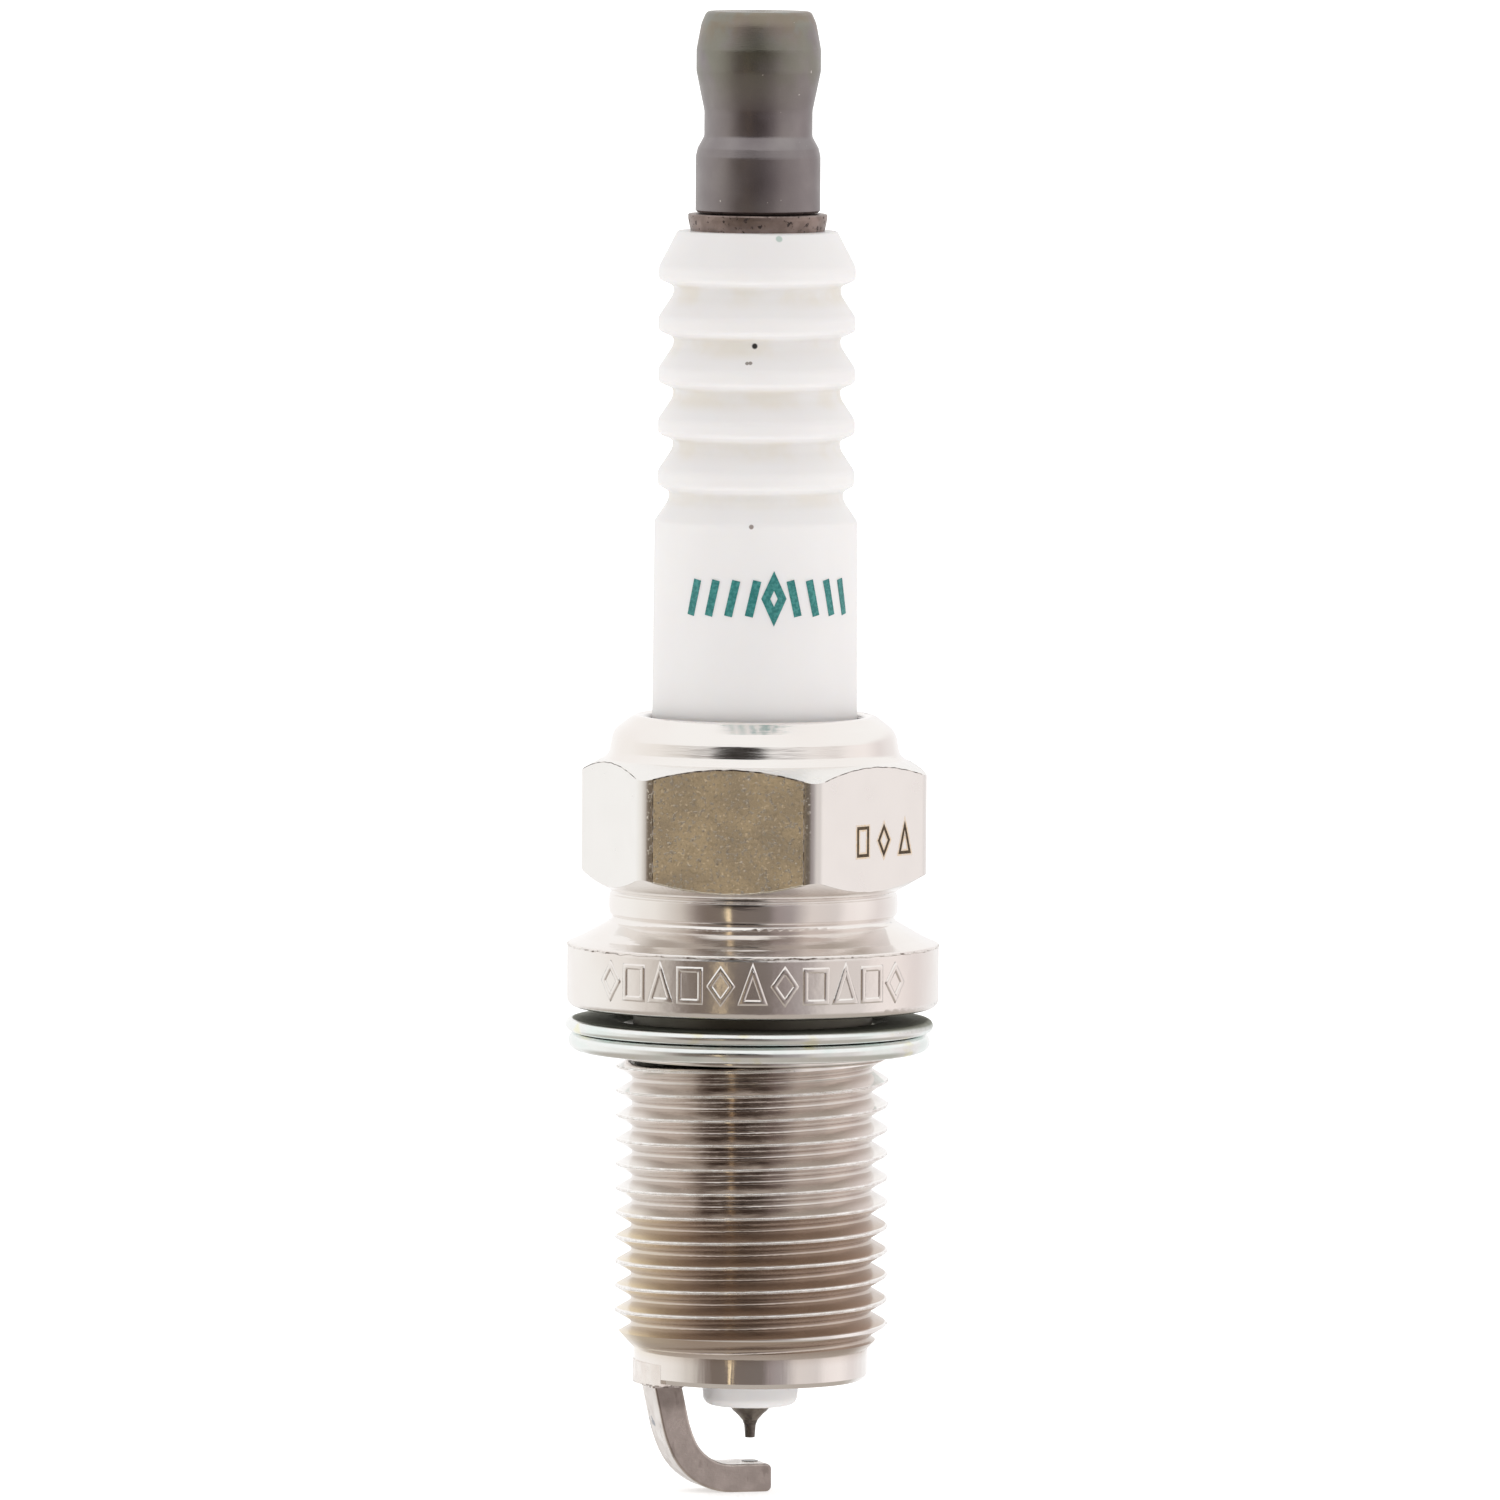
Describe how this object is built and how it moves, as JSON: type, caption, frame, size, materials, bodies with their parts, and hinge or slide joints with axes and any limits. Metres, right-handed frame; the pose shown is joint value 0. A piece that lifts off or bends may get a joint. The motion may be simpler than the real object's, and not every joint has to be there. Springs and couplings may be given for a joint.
{
  "type": "spark plug",
  "caption": "Screw-in spark plug: ribbed ceramic insulator, hexagonal plated shell, folded gasket, removable terminal nut, fine-wire tip and bent ground strap.",
  "frame": {"origin": "on the plug's axis, in the plane of the flange's gasket seat, where the cylinder head's seat comes", "axes": "+Z along the axis to the terminal, -Z to the firing end; X and Y are square to it, with one pair of wrench flats facing azimuth 80.5 and 260.5 degrees and the ground strap at azimuth 197 degrees"},
  "size_m": [0.0191, 0.019, 0.0757],
  "materials": {
    "shell": "satin nickel plate over turned and rolled steel",
    "insulator": "glossy clear glaze over white alumina",
    "terminal_stud": "plated, lightly stained",
    "terminal_nut": "dull turned steel",
    "gasket": "bright zinc plate with a faint colour film",
    "packing_rings": "plain steel wire",
    "talc_filling": "pressed white powder",
    "seat_packing": "soft steel washer",
    "glass_seals": "copper-filled glass, opaque",
    "resistor": "fired carbon and glass, matt",
    "centre_electrode": "drawn nickel alloy",
    "electrode_core": "copper",
    "tip_weld": "fused laser weld",
    "iridium_tip": "dark drawn iridium alloy",
    "ground_electrode": "drawn nickel alloy strip",
    "strap_weld": "flattened weld flash, plated over",
    "platinum_chip": "polished platinum alloy",
    "chip_rim": "fused rim"
  },
  "bodies": {
    "plug": {"shell": "shell", "insulator": "insulator", "terminal_stud": "terminal_stud", "upper_packing_ring": "packing_rings", "lower_packing_ring": "packing_rings", "talc_filling": "talc_filling", "seat_packing": "seat_packing", "upper_glass_seal": "glass_seals", "lower_glass_seal": "glass_seals", "resistor": "resistor", "centre_electrode": "centre_electrode", "electrode_core": "electrode_core", "tip_weld": "tip_weld", "iridium_tip": "iridium_tip", "ground_electrode": "ground_electrode", "strap_weld": "strap_weld", "platinum_chip": "platinum_chip", "chip_rim": "chip_rim"},
    "nut": {"terminal_nut": "terminal_nut"},
    "washer": {"gasket": "gasket"}
  },
  "joints": [
    {"name": "terminal_nut_off", "type": "slide", "parent": "plug", "child": "nut", "axis": [0, 0, 1], "range_m": [0, 0.009]},
    {"name": "gasket_play", "type": "slide", "parent": "plug", "child": "washer", "axis": [0, 0, 1], "range_m": [0, 0.0005]}
  ]
}
